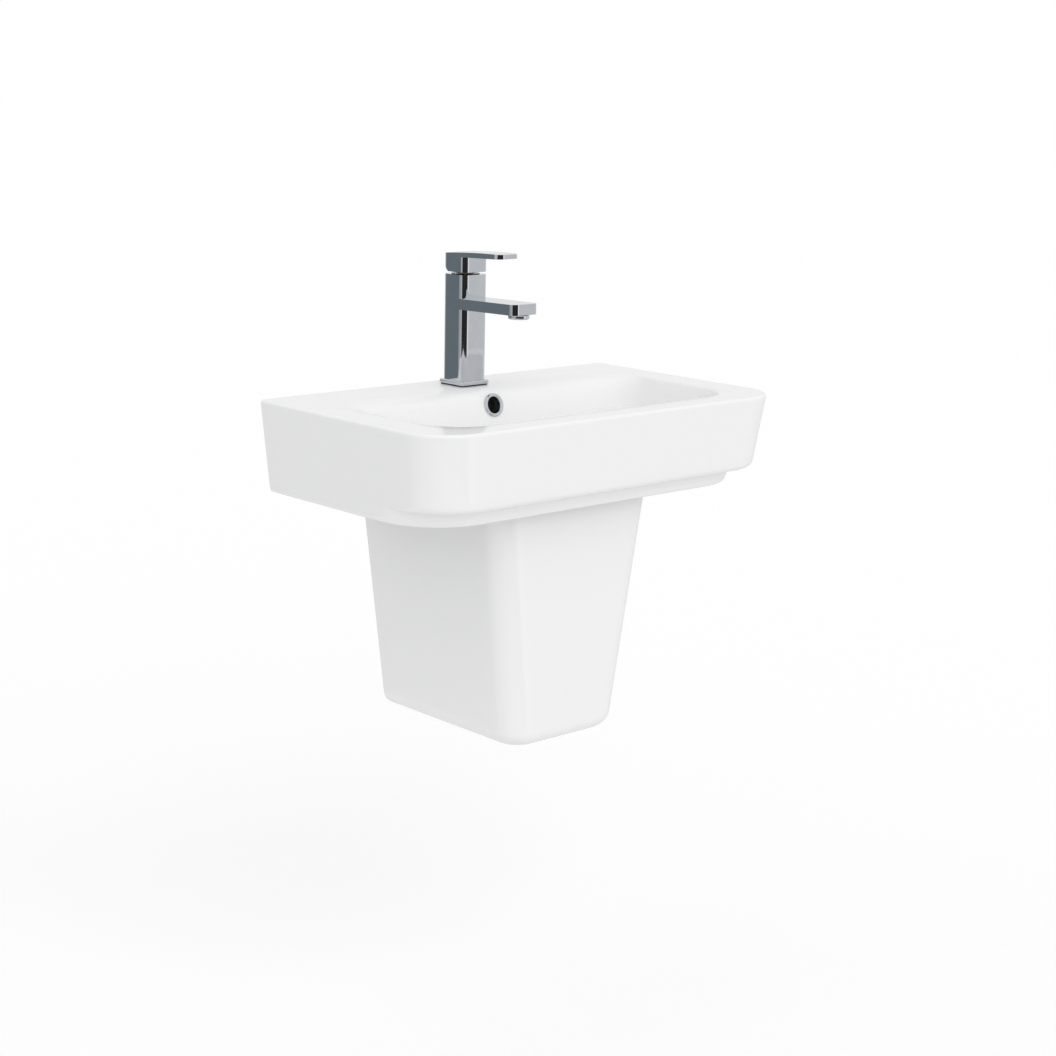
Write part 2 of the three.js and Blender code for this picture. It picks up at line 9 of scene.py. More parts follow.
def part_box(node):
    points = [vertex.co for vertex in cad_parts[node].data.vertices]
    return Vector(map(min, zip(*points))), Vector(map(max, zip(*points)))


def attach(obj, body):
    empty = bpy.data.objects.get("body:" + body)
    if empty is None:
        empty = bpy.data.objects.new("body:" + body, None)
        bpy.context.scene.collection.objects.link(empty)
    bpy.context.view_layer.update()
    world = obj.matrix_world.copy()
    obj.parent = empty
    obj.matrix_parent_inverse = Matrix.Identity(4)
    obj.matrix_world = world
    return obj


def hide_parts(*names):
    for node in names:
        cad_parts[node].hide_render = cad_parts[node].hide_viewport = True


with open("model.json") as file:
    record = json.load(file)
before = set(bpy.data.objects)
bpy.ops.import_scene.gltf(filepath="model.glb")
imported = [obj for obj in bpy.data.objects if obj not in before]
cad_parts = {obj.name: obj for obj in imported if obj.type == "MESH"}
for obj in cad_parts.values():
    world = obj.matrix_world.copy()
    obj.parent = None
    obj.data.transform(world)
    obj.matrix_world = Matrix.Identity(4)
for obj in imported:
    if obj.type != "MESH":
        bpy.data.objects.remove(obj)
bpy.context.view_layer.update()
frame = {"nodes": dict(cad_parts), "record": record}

mm = 0.001
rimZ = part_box("basin")[1].z  # the rim's height over the frame's origin


def height(z):  # millimetres from the rim, up, to metres in the frame
    return rimZ + z * mm


def point(x, y, z):
    return Vector((x * mm, y * mm, height(z)))


# ---- materials ----


def newGroup(name, inputs, outputs):
    group = bpy.data.node_groups.new(name, "ShaderNodeTree")
    for label, kind, value in inputs:
        socket = group.interface.new_socket(label, in_out="INPUT", socket_type=kind)
        socket.default_value = value
    for label, kind in outputs:
        group.interface.new_socket(label, in_out="OUTPUT", socket_type=kind)
    return group, group.nodes.new("NodeGroupInput"), group.nodes.new("NodeGroupOutput")


def addNode(tree, kind, values=None, **settings):
    node = tree.nodes.new(kind)
    for key, value in settings.items():
        setattr(node, key, value)
    for key, value in (values or {}).items():
        node.inputs[key].default_value = value
    return node


def noise(tree, vector, scale, detail=3.0, roughness=0.5):
    node = addNode(tree, "ShaderNodeTexNoise", {"Scale": scale, "Detail": detail, "Roughness": roughness})
    tree.links.new(vector, node.inputs["Vector"])
    return node.outputs["Fac"]


def remap(tree, value, low, high, newLow, newHigh):
    node = addNode(tree, "ShaderNodeMapRange",
                   {"From Min": low, "From Max": high, "To Min": newLow, "To Max": newHigh})
    tree.links.new(value, node.inputs["Value"])
    return node.outputs["Result"]


def blendColors(tree, mask, first, second):
    node = addNode(tree, "ShaderNodeMix", data_type="RGBA")
    tree.links.new(mask, node.inputs["Factor"])
    for socket, color in ((node.inputs["A"], first), (node.inputs["B"], second)):
        if isinstance(color, bpy.types.NodeSocket):
            tree.links.new(color, socket)
        else:
            socket.default_value = (*color, 1)
    return node.outputs["Result"]


def combine(tree, operation, first, second):
    node = addNode(tree, "ShaderNodeMath", operation=operation)
    for socket, value in zip(node.inputs, (first, second)):
        if isinstance(value, bpy.types.NodeSocket):
            tree.links.new(value, socket)
        else:
            socket.default_value = value
    return node.outputs["Value"]


def smudgeGroup():  # broad cloudy variation with a finer one on top, 0 to 1
    group, source, target = newGroup(
        "handledSurface",
        [("Scale", "NodeSocketFloat", 30.0)],
        [("Cloud", "NodeSocketFloat"), ("Grain", "NodeSocketFloat")])
    place = addNode(group, "ShaderNodeTexCoord").outputs["Object"]
    broad = addNode(group, "ShaderNodeTexNoise", {"Detail": 2.0})
    fine = addNode(group, "ShaderNodeTexNoise", {"Detail": 4.0, "Roughness": 0.6})
    group.links.new(place, broad.inputs["Vector"])
    group.links.new(place, fine.inputs["Vector"])
    group.links.new(source.outputs["Scale"], broad.inputs["Scale"])
    group.links.new(combine(group, "MULTIPLY", source.outputs["Scale"], 22.0), fine.inputs["Scale"])
    group.links.new(broad.outputs["Fac"], target.inputs["Cloud"])
    group.links.new(fine.outputs["Fac"], target.inputs["Grain"])
    return group


def glazeGroup():  # fired glaze: faint tone drift, slow waviness, and bare biscuit against the wall
    group, source, target = newGroup(
        "firedGlaze",
        [("Tone", "NodeSocketColor", (0.94, 0.94, 0.945, 1)), ("Biscuit Depth", "NodeSocketFloat", 0.0006)],
        [("Color", "NodeSocketColor"), ("Roughness", "NodeSocketFloat"), ("Height", "NodeSocketFloat")])
    place = addNode(group, "ShaderNodeTexCoord").outputs["Object"]
    drift = noise(group, place, 4.0, 2.0)
    waves = noise(group, place, 38.0, 2.0)
    sand = noise(group, place, 1400.0, 3.0, 0.7)
    axes = addNode(group, "ShaderNodeSeparateXYZ")
    group.links.new(place, axes.inputs["Vector"])
    bare = combine(group, "GREATER_THAN", axes.outputs["Y"],
                   combine(group, "MULTIPLY", source.outputs["Biscuit Depth"], -1.0))
    warm = blendColors(group, remap(group, drift, 0.35, 0.65, 0.0, 0.3), source.outputs["Tone"],
                       (0.945, 0.94, 0.93))
    biscuit = blendColors(group, sand, (0.62, 0.58, 0.52), (0.74, 0.7, 0.64))
    group.links.new(blendColors(group, bare, warm, biscuit), target.inputs["Color"])
    gloss = remap(group, waves, 0.3, 0.7, 0.09, 0.16)
    group.links.new(combine(group, "MAXIMUM", gloss, combine(group, "MULTIPLY", bare, 0.85)),
                    target.inputs["Roughness"])
    relief = combine(group, "ADD", combine(group, "MULTIPLY", waves, 0.3),
                     combine(group, "MULTIPLY", sand, bare))
    group.links.new(relief, target.inputs["Height"])
    return group


smudges = smudgeGroup()
glaze = glazeGroup()


def newMaterial(name, metallic=0.0, ior=1.5):
    material = bpy.data.materials.new(name)
    material.use_nodes = True
    tree = material.node_tree
    shader = tree.nodes["Principled BSDF"]
    shader.inputs["Metallic"].default_value = metallic
    shader.inputs["IOR"].default_value = ior
    return material, tree, shader


def addBump(tree, shader, value, distance, strength=1.0):
    bump = addNode(tree, "ShaderNodeBump", {"Distance": distance, "Strength": strength})
    tree.links.new(value, bump.inputs["Height"])
    tree.links.new(bump.outputs["Normal"], shader.inputs["Normal"])


def ceramicMaterial():
    material, tree, shader = newMaterial("glazedCeramic", ior=1.52)
    shader.inputs["Specular IOR Level"].default_value = 0.4
    group = addNode(tree, "ShaderNodeGroup", node_tree=glaze)
    tree.links.new(group.outputs["Color"], shader.inputs["Base Color"])
    tree.links.new(group.outputs["Roughness"], shader.inputs["Roughness"])
    addBump(tree, shader, group.outputs["Height"], 0.00025, 0.35)
    return material


def wornMaterial(name, tones, rough, scale, metallic=0.0, relief=0.00002):
    material, tree, shader = newMaterial(name, metallic)
    group = addNode(tree, "ShaderNodeGroup", {"Scale": scale}, node_tree=smudges)
    cloud = group.outputs["Cloud"]
    grain = group.outputs["Grain"]
    mask = remap(tree, cloud, 0.3, 0.7, 0.0, 1.0)
    tree.links.new(blendColors(tree, mask, *tones), shader.inputs["Base Color"])
    wear = combine(tree, "ADD", combine(tree, "MULTIPLY", cloud, 0.65),
                   combine(tree, "MULTIPLY", grain, 0.35))
    tree.links.new(remap(tree, wear, 0.35, 0.65, *rough), shader.inputs["Roughness"])
    addBump(tree, shader, grain, relief, 0.3)
    return material


braid = {"starts": 6, "turns": 62}  # wires side by side, and their crossings along a hose


def braidMaterial():  # steel wires woven round the hose, on its own u round and v along
    material, tree, shader = newMaterial("wireBraid", metallic=1.0)
    place = addNode(tree, "ShaderNodeTexCoord").outputs["UV"]
    axes = addNode(tree, "ShaderNodeSeparateXYZ")
    tree.links.new(place, axes.inputs["Vector"])
    around = combine(tree, "MULTIPLY", axes.outputs["X"], 2 * math.pi * braid["starts"])
    along = combine(tree, "MULTIPLY", axes.outputs["Y"], 2 * math.pi * braid["turns"])
    left = combine(tree, "SINE", combine(tree, "ADD", around, along), 0.0)
    right = combine(tree, "SINE", combine(tree, "SUBTRACT", around, along), 0.0)
    weave = combine(tree, "MAXIMUM", left, right)
    strands = combine(tree, "SINE", combine(tree, "MULTIPLY", combine(tree, "ADD", around, along), 4.0), 0.0)
    relief = combine(tree, "ADD", weave, combine(tree, "MULTIPLY", strands, 0.2))
    tree.links.new(blendColors(tree, remap(tree, weave, -0.3, 0.6, 0.0, 1.0), (0.06, 0.06, 0.065),
                               (0.62, 0.63, 0.64)), shader.inputs["Base Color"])
    tree.links.new(remap(tree, weave, -0.3, 1.0, 0.55, 0.26), shader.inputs["Roughness"])
    addBump(tree, shader, relief, 0.0004, 0.8)
    return material


ceramic = ceramicMaterial()
chrome = wornMaterial("polishedChrome", ((0.56, 0.585, 0.62), (0.6, 0.62, 0.65)), (0.035, 0.075), 45.0, 1.0,
                      0.000006)
# painted shade: near-black chrome for the lever collar, standing in for the shadow gap between tap body and
# lever
paintedShadeCollar = wornMaterial("paintedShadeCollar", ((0.03, 0.031, 0.034), (0.05, 0.052, 0.056)), (0.2, 0.32), 80.0, 1.0)
# painted shade: a near-black for the inside of the overflow way and its hole, standing in for the deep shade
# there
paintedShadeBore = wornMaterial("paintedShadeBore", ((0.035, 0.036, 0.038), (0.07, 0.07, 0.07)), (0.5, 0.7), 160.0)
zincSteel = wornMaterial("zincSteel", ((0.46, 0.47, 0.46), (0.58, 0.58, 0.55)), (0.28, 0.45), 120.0, 1.0)
brassMaterial = wornMaterial("machinedBrass", ((0.56, 0.4, 0.17), (0.66, 0.5, 0.24)), (0.22, 0.38), 90.0, 1.0)
blackRubber = wornMaterial("blackRubber", ((0.02, 0.02, 0.021), (0.035, 0.035, 0.036)), (0.6, 0.85), 150.0)
whiteNylon = wornMaterial("whiteNylon", ((0.72, 0.71, 0.67), (0.78, 0.77, 0.74)), (0.38, 0.52), 110.0)
blueAcetal = wornMaterial("blueAcetal", ((0.03, 0.1, 0.3), (0.045, 0.13, 0.36)), (0.3, 0.42), 100.0)
wireBraid = braidMaterial()
# the dark_chrome slot takes the painted-shade collar material
slotMaterials = {"ceramic": ceramic, "chrome": chrome, "dark_chrome": paintedShadeCollar, "steel": zincSteel,
                 "brass": brassMaterial, "rubber": blackRubber, "nylon": whiteNylon, "acetal": blueAcetal,
                 "braid": wireBraid}
print("materials ready")

# ---- making pieces ----


def toObject(bm, name, material, smoothAngle=40):
    bmesh.ops.remove_doubles(bm, verts=bm.verts, dist=1e-6)
    bmesh.ops.recalc_face_normals(bm, faces=bm.faces)
    mesh = bpy.data.meshes.new(name)
    bm.to_mesh(mesh)
    bm.free()
    piece = bpy.data.objects.new(name, mesh)
    bpy.context.scene.collection.objects.link(piece)
    mesh.materials.append(material)
    shade(piece, smoothAngle)
    return piece


def shade(piece, smoothAngle=40):
    stored = piece.data.attributes.get("custom_normal")
    if stored:
        piece.data.attributes.remove(stored)
    piece.data.shade_smooth()
    piece.data.set_sharp_from_angle(angle=math.radians(smoothAngle))


def settle(piece, smoothAngle=40):  # applies the modifiers; an angle of None keeps the normals they made
    evaluated = piece.evaluated_get(bpy.context.evaluated_depsgraph_get())
    mesh = bpy.data.meshes.new_from_object(evaluated)
    piece.modifiers.clear()
    piece.data = mesh
    if smoothAngle is not None:
        shade(piece, smoothAngle)


def carve(piece, tools, operation="DIFFERENCE", smoothAngle=40):
    for tool in tools:
        modifier = piece.modifiers.new("carve", "BOOLEAN")
        modifier.operation = operation
        modifier.solver = "EXACT"
        modifier.material_mode = "TRANSFER"
        modifier.object = tool
    settle(piece, smoothAngle)
    for tool in tools:
        bpy.data.objects.remove(tool)


def soften(piece, width, segments=3, angle=35):
    modifier = piece.modifiers.new("soften", "BEVEL")
    modifier.width = width * mm
    modifier.segments = segments
    modifier.limit_method = "ANGLE"
    modifier.angle_limit = math.radians(angle)
    piece.modifiers.new("weighted", "WEIGHTED_NORMAL").weight = 80
    shade(piece, 180)
    settle(piece, None)


def mount(piece, body, slotName, *nodes):
    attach(piece, body)
    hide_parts(*nodes)


def outline(half, front, rear, frontRadius, rearRadius, cornerSteps=14, sideSteps=8, longSteps=28):
    # a rectangle with round corners, the same number of points whatever its size
    corners = [(half, rear, rearRadius, 0, longSteps), (-half, rear, rearRadius, 1, sideSteps),
               (-half, front, frontRadius, 2, longSteps), (half, front, frontRadius, 3, sideSteps)]
    arcs = []
    for x, y, radius, quarter, _ in corners:
        cx = x - math.copysign(radius, x)
        cy = y - radius if quarter < 2 else y + radius
        arcs.append([(cx + radius * math.cos(a), cy + radius * math.sin(a))
                     for a in ((quarter + i / cornerSteps) * math.pi / 2 for i in range(cornerSteps + 1))])
    points = []
    for index, arc in enumerate(arcs):
        points += arc
        start, end = Vector(arc[-1]), Vector(arcs[(index + 1) % 4][0])
        steps = corners[index][4]
        points += [tuple(start.lerp(end, i / steps)) for i in range(1, steps)]
    return points


def growRing(bm, verts):  # grows a band of skin from a ring, and gives the new ring in the same order
    edges = [bm.edges.get((a, b)) for a, b in zip(verts, verts[1:] + verts[:1])]
    grown = bmesh.ops.extrude_edge_only(bm, edges=edges)["geom"]
    fresh = {item for item in grown if isinstance(item, bmesh.types.BMVert)}
    return [next(edge.other_vert(old) for edge in old.link_edges if edge.other_vert(old) in fresh)
            for old in verts]


def sweepRings(bm, rings):  # each ring is (points, z); a skin grows from one to the next
    points, z = rings[0]
    verts = bmesh.ops.create_circle(bm, segments=len(points), radius=1)["verts"]
    for vert, (x, y) in zip(verts, points):
        vert.co = point(x, y, z)
    for points, z in rings[1:]:
        verts = growRing(bm, verts)
        for vert, (x, y) in zip(verts, points):
            vert.co = point(x, y, z)
    return verts


def mixed(first, second, share):
    return [(a[0] + (b[0] - a[0]) * share, a[1] + (b[1] - a[1]) * share) for a, b in zip(first, second)]


def smoothKeys(keys, steps):  # Catmull-Rom through rows of numbers
    rows = []
    for i in range(len(keys) - 1):
        p0, p1, p2, p3 = (keys[max(i - 1, 0)], keys[i], keys[i + 1], keys[min(i + 2, len(keys) - 1)])
        for step in range(steps):
            t = step / steps
            rows.append([0.5 * (2 * b + (c - a) * t + (2 * a - 5 * b + 4 * c - d) * t * t
                                + (3 * b - a - 3 * c + d) * t ** 3) for a, b, c, d in zip(p0, p1, p2, p3)])
    rows.append(list(keys[-1]))
    return rows


def roundProfile(points, radius, steps=4):  # rounds each corner of a closed (radius, height) outline
    rounded = []
    count = len(points)
    for i, here in enumerate(points):
        here = Vector(here)
        before, after = Vector(points[i - 1]) - here, Vector(points[(i + 1) % count]) - here
        reach = min(radius, before.length * 0.45, after.length * 0.45)
        if here.x < 1e-6 or reach < 1e-4:
            rounded.append(tuple(here))
            continue
        start, end = here + before.normalized() * reach, here + after.normalized() * reach
        for step in range(steps + 1):
            t = step / steps
            rounded.append(tuple(start.lerp(here, t).lerp(here.lerp(end, t), t)))
    return rounded


def spun(name, material, centre, axis, profile, edge=0.4, segments=64, smoothAngle=40):
    # centre in mm from the rim's plane; axis is "Z" or "Y"; profile lists (radius, distance along the axis)
    bm = bmesh.new()
    x, y, z = centre
    onAxis = [i for i, (radius, _) in enumerate(profile) if radius == 0]
    profile = roundProfile(profile, edge)
    verts = []
    for radius, along in profile:
        spot = point(x + radius, y, along) if axis == "Z" else point(x + radius, along, z)
        verts.append(bm.verts.new(spot))
    edges = [bm.edges.new((a, b)) for a, b in zip(verts, verts[1:])]
    if not onAxis:
        edges.append(bm.edges.new((verts[-1], verts[0])))
    direction = Vector((0, 0, 1)) if axis == "Z" else Vector((0, 1, 0))
    bmesh.ops.spin(bm, geom=verts + edges, cent=point(x, y, z), axis=direction, angle=2 * math.pi,
                   steps=segments, use_merge=True, use_duplicate=False)
    return toObject(bm, name, material, smoothAngle)


def rod(name, material, start, end, radius, segments=48):  # a plain round bar, mostly a cutting tool
    bm = bmesh.new()
    a, b = point(*start), point(*end)
    turn = (b - a).to_track_quat("Z", "Y").to_matrix().to_4x4()
    bmesh.ops.create_cone(bm, cap_ends=True, segments=segments, radius1=radius * mm, radius2=radius * mm,
                          depth=(b - a).length, matrix=Matrix.Translation((a + b) / 2) @ turn)
    return toObject(bm, name, material)


def slab(name, material, x0, x1, y0, y1, z0, z1, corner=0.0):  # a plain block, or one with round uprights
    bm = bmesh.new()
    low, high = point(x0, y0, z0), point(x1, y1, z1)
    size = high - low
    bmesh.ops.create_cube(bm, size=1, matrix=Matrix.Translation((low + high) / 2)
                          @ Matrix.Diagonal((*size, 1)))
    if corner:
        bevelWhere(bm, isUpright, corner, 14)
    return toObject(bm, name, material)


def isUpright(edge):
    a, b = edge.verts[0].co, edge.verts[1].co
    return abs(a.x - b.x) < 1e-6 and abs(a.y - b.y) < 1e-6


def profileBlock(bm, sideView, halfWidth):  # a side view of (y, z) points, drawn out across the width
    verts = [bm.verts.new(point(-halfWidth, y, z)) for y, z in sideView]
    face = bm.faces.new(verts)
    drawn = bmesh.ops.extrude_face_region(bm, geom=[face])["geom"]
    moved = [item for item in drawn if isinstance(item, bmesh.types.BMVert)]
    bmesh.ops.translate(bm, verts=moved, vec=(2 * halfWidth * mm, 0, 0))
    bmesh.ops.recalc_face_normals(bm, faces=bm.faces)


def bevelWhere(bm, test, radius, segments):
    edges = [edge for edge in bm.edges if test(edge)]
    bmesh.ops.bevel(bm, geom=edges, offset=radius * mm, offset_type="OFFSET", segments=segments, profile=0.5,
                    affect="EDGES", clamp_overlap=True, material=-1)


# ---- basin ----

basinSize = {
    "half": 300, "depth": 358, "height": 122, "tierHeight": 100, "sideTaper": 14.7, "frontTaper": 11,
    "setback": 26, "upperCorner": 60, "lowerCorner": 88, "rearCorner": 3.5, "wall": 11, "rearWall": 12,
    "rimEdge": 4.5, "stepEdge": 9, "cove": 8, "footEdge": 4.5,
}
drain = {"y": -200, "seat": -106, "bore": 23, "bossBottom": -128, "bossRadius": 42}
tapHole = {"y": -49, "radius": 17.5}
boltPlace = {"x": 140, "z": -80, "hole": 8}
# z, half width, front, rear, front corner, rear corner
bowlKeys = [
    (-4, 249.6, -319, -99, 64, 43), (-9, 249, -318.5, -105.5, 63, 44), (-20, 248, -317.5, -109.5, 62.5, 45),
    (-30, 247, -316, -112, 62, 46), (-50, 243, -311, -117, 60, 46), (-65, 237, -303, -122, 56, 46),
    (-78, 225, -289, -129, 52, 46), (-88, 205, -270, -140, 49, 44), (-94, 168, -254, -149, 46, 44),
    (-99, 120, -244, -156, 43, 42), (-103, 72, -238, -162, 37.5, 37.5), (-105, 48, -235.5, -164.5, 35, 35),
    (-106, 33, -233, -167, 32.8, 32.8),
]


def tier(z, share, inset=0.0, rearInset=None):  # outer outline at z: share 0 is the lower tier, 1 the upper
    size = basinSize
    half = size["half"] + size["sideTaper"] * z / size["height"] - inset
    rear = -(inset if rearInset is None else rearInset)
    upperFront = -size["depth"] - size["frontTaper"] * z / size["tierHeight"] + inset
    lowerDrop = 3 * (-z - size["tierHeight"]) / (size["height"] - size["tierHeight"])
    lowerFront = -size["depth"] + size["frontTaper"] + size["setback"] + lowerDrop + inset
    rearCorner = max(size["rearCorner"] - inset, 2)
    upper = outline(half, upperFront, rear, size["upperCorner"] - inset, rearCorner)
    lower = outline(half, lowerFront, rear, size["lowerCorner"] - inset, rearCorner)
    return mixed(lower, upper, share)


def drainCircle(radius):
    y, corner = drain["y"], radius - 0.05
    return outline(radius, y - radius, y + radius, corner, corner)


def innerSkin(z, share, inset=basinSize["wall"]):  # the hollow side of the apron
    return tier(z, share, inset, basinSize["rearWall"]), z


def arcSteps(count):
    return [i / count * math.pi / 2 for i in range(count + 1)]


def basinRings():
    size = basinSize
    rings = []
    foot, edge, step = size["footEdge"], size["rimEdge"], size["stepEdge"]
    bottom = -size["height"]
    for a in arcSteps(4):  # foot edge, outside
        inset = foot * (1 - math.sin(a))
        rings.append((tier(bottom, 0, inset), bottom + foot * (1 - math.cos(a))))
    ledge, cove = -size["tierHeight"], size["cove"]
    for z in (bottom + foot + 3, (bottom + ledge) / 2 - 2):
        rings.append((tier(z, 0), z))
    for a in arcSteps(6):  # hollow corner under the ledge
        z = ledge - cove + cove * math.sin(a)
        rings.append((tier(z, cove / size["setback"] * (1 - math.cos(a))), z))
    for a in arcSteps(8):  # rounded lower edge of the upper tier
        z = ledge + step * (1 - math.cos(a))
        rings.append((tier(z, 1 - step / size["setback"] * (1 - math.sin(a))), z))
    for z in (-80, -60, -40, -20, -10):
        rings.append((tier(z, 1), z))
    for a in arcSteps(7):  # rim edge
        z = -edge * (1 - math.sin(a))
        rings.append((tier(z, 1, edge * (1 - math.cos(a))), z))
    rings.append((tier(0, 1, edge + 1.2), 0))
    mouth = outline(253, -322, -78, 66, 40)
    rings.append((mouth, 0))
    front = [(251.8, -320.8, -81, 65, 40.5, -0.25), (250.6, -319.9, -88, 64.5, 41.5, -1.1),
             (249.9, -319.3, -94.5, 64.2, 42.3, -2.4)]
    for half, y, rear, frontCorner, rearCorner, z in front:
        rings.append((outline(half, y, rear, frontCorner, rearCorner), z))
    for z, half, y, rear, frontCorner, rearCorner in smoothKeys(bowlKeys, 4):
        rings.append((outline(half, y, rear, frontCorner, rearCorner), z))
    rings.append((drainCircle(32), drain["seat"] - 0.05))
    rings.append((drainCircle(drain["bore"] + 1), drain["seat"]))
    rings.append((drainCircle(drain["bore"]), drain["seat"] - 1))
    rings.append((drainCircle(drain["bore"]), drain["bossBottom"] + 1))
    rings.append((drainCircle(drain["bore"] + 1), drain["bossBottom"]))
    rings.append((drainCircle(drain["bossRadius"] - 2), drain["bossBottom"]))
    rings.append((drainCircle(drain["bossRadius"]), drain["bossBottom"] + 2))
    rings.append((drainCircle(drain["bossRadius"] + 1), -118.5))
    wall = size["wall"]
    for z, half, y, rear, frontCorner, rearCorner in smoothKeys(bowlKeys[:-2], 2)[::-1]:
        lower = z - wall * min(1, max(0, (-z - 20) / 60))
        if lower < -12.5:
            rings.append((outline(half + wall, y - wall, rear + wall, frontCorner + wall, rearCorner + wall),
                          lower))
    rings.append((outline(261, -331, -84, 76, 55), -wall - 3))
    rings.append((outline(262.5, -332.5, -82, 77, 56), -wall))
    rings.append(innerSkin(-wall, 1, wall + 3))
    rings += [innerSkin(-wall - 3, 1), innerSkin(-40, 1), innerSkin(wall + ledge - 3, 1)]
    rings += [innerSkin(wall + ledge, 1 - 3 / size["setback"]), innerSkin(wall + ledge, 3 / size["setback"])]
    rings += [innerSkin(z, 0) for z in (wall + ledge - 3, -106, -116, bottom + foot)]
    for a in arcSteps(3)[1:]:  # foot edge, inside
        inset = wall - foot * (1 - math.cos(a))
        rear = size["rearWall"] - foot * (1 - math.cos(a))
        rings.append((tier(bottom, 0, inset, rear), bottom + foot * (1 - math.sin(a))))
    rings.append(rings[0])
    return rings


def overflowDuct():  # outer casing and inner way, as side views
    outer = [(-82, -8), (-84, -64), (-91, -84), (-100, -104), (-123, -120), (-172, -127.5), (-190, -127.5),
             (-190, -108), (-150, -104), (-115, -60), (-106, -8)]
    inner = [(-98, -9), (-100, -60), (-106, -76), (-115, -92), (-130, -104), (-168, -112.5), (-190, -112.5),
             (-190, -122), (-168, -122), (-126, -113), (-105, -98), (-97, -80), (-91, -62), (-89, -9)]
    parts = []
    for label, view, halfWidth in (("ductCasing", outer, 23), ("ductWay", inner, 14)):
        bm = bmesh.new()
        profileBlock(bm, view, halfWidth)
        if label == "ductCasing":
            bevelWhere(bm, lambda edge: abs(edge.verts[0].co.x - edge.verts[1].co.x) < 1e-6, 5, 4)
        # the way takes the painted-shade material, which the carve hands to the faces it cuts
        parts.append(toObject(bm, label, ceramic if label == "ductCasing" else paintedShadeBore))
    return parts


overflow = {"y": -109.5, "z": -21, "lean": 14, "hole": 11.5}


def buildBasin():
    bm = bmesh.new()
    sweepRings(bm, basinRings())
    basin = toObject(bm, "basinBody", ceramic, 50)
    casing, way = overflowDuct()
    carve(basin, [casing], "UNION", 50)
    lean = math.radians(overflow["lean"])
    reach = Vector((0, math.cos(lean), -math.sin(lean)))
    spot = Vector((0, overflow["y"], overflow["z"]))
    # the way and the overflow hole give their painted-shade material to the faces they cut, painting the
    # duct's inside dark as shade
    tools = [way, rod("tapHole", ceramic, (0, tapHole["y"], -30), (0, tapHole["y"], 2), tapHole["radius"]),
             rod("overflowHole", paintedShadeBore, spot - 14 * reach, spot + 15 * reach, overflow["hole"])]
    for side in (-1, 1):
        x, z = side * boltPlace["x"], boltPlace["z"]
        tools.append(rod("boltHole", ceramic, (x, -13, z), (x, 2, z), boltPlace["hole"]))
    carve(basin, tools, "DIFFERENCE", 50)
    mount(basin, "basin_set", "ceramic", "basin")


buildBasin()
print("basin built")

# ---- overflow ring ----


def buildOverflowRing():
    profile = [(10.9, 9), (11.2, -0.6), (15.4, -0.6), (16, -1.2), (15.6, -2.4), (14.2, -3.5), (12.6, -3.5),
               (11.4, -2.6), (10.6, -1.2), (10.3, 9)]
    ring = spun("overflowTrim", chrome, (0, 0, 0), "Y", profile, 0.5, 72)
    lean = Matrix.Rotation(math.radians(-overflow["lean"]), 4, "X")
    ring.data.transform(Matrix.Translation(point(0, overflow["y"], overflow["z"])) @ lean
                        @ Matrix.Translation(-point(0, 0, 0)))
    mount(ring, "basin_set", "chrome", "overflow_ring")


buildOverflowRing()

# ---- semi-pedestal ----

pedestalSize = {
    "top": -124.5, "bottom": -445, "topHalf": 136, "bottomHalf": 93, "topDepth": 281, "bottomDepth": 267,
    "corner": 34, "bottomEdge": 20, "wall": 9, "lugX": 98, "lugZ": -215,
}


def pedestalRing(z, inset=0.0):  # an open-backed U is left once the rear side is taken away
    size = pedestalSize
    t = (size["top"] - z) / (size["top"] - size["bottom"])
    half = size["topHalf"] + (size["bottomHalf"] - size["topHalf"]) * t - inset
    front = -(size["topDepth"] + (size["bottomDepth"] - size["topDepth"]) * t) + inset
    return outline(half, front, 0, max(size["corner"] - inset * 0.6, 6), 0.01, 12, 10, 14), z


def buildPedestal():
    size = pedestalSize
    bm = bmesh.new()
    top, bottom, edge = size["top"], size["bottom"], size["bottomEdge"]
    levels = [top + (bottom + edge + 4 - top) * i / 10 for i in range(11)]
    rings = [pedestalRing(z) for z in levels]
    for a in arcSteps(9):
        z = bottom + edge * (1 - math.sin(a))
        rings.append(pedestalRing(z, edge * (1 - math.cos(a))))
    last = sweepRings(bm, rings)
    bmesh.ops.contextual_create(bm, geom=last)
    bmesh.ops.remove_doubles(bm, verts=bm.verts, dist=1e-6)
    back = [face for face in bm.faces if all(abs(vert.co.y) < 2e-5 for vert in face.verts)]
    bmesh.ops.delete(bm, geom=back, context="FACES")
    for vert in bm.verts:
        if abs(vert.co.y) < 2e-5:
            vert.co.y = 0
    bmesh.ops.recalc_face_normals(bm, faces=bm.faces)
    shell = toObject(bm, "semiPedestalShell", ceramic, 60)
    wall = shell.modifiers.new("wall", "SOLIDIFY")
    wall.thickness = size["wall"] * mm
    wall.offset = -1
    wall.use_even_offset = True
    settle(shell, 60)
    lugs = []
    for side in (-1, 1):
        inner, outer = side * (size["lugX"] - 16), side * (size["lugX"] + 23)
        lug = slab("lug", ceramic, min(inner, outer), max(inner, outer), -11, -0.02, size["lugZ"] - 22,
                   size["lugZ"] + 22)
        soften(lug, 3, 4)
        lugs.append(lug)
    carve(shell, lugs, "UNION", 50)
    holes = [rod("lugHole", ceramic, (side * size["lugX"], -13, size["lugZ"]),
                 (side * size["lugX"], 2, size["lugZ"]), 5.5) for side in (-1, 1)]
    carve(shell, holes, "DIFFERENCE", 50)
    mount(shell, "basin_set", "ceramic", "semi_pedestal")


buildPedestal()
print("pedestal built")

# ---- tap ----

tapSize = {
    "y": tapHole["y"], "half": 22, "bottom": 1.5, "top": 148.7, "corner": 9.5, "edge": 0.9,
    "plateHalf": 24.75, "plateTop": 7, "plateCorner": 5,
    "spoutTop": 117.2, "spoutBottom": 103, "spoutRise": 2, "spoutFront": -172, "chamber": 14,
    "aeratorY": -157, "aeratorRadius": 14, "aeratorBore": 11.6,
}


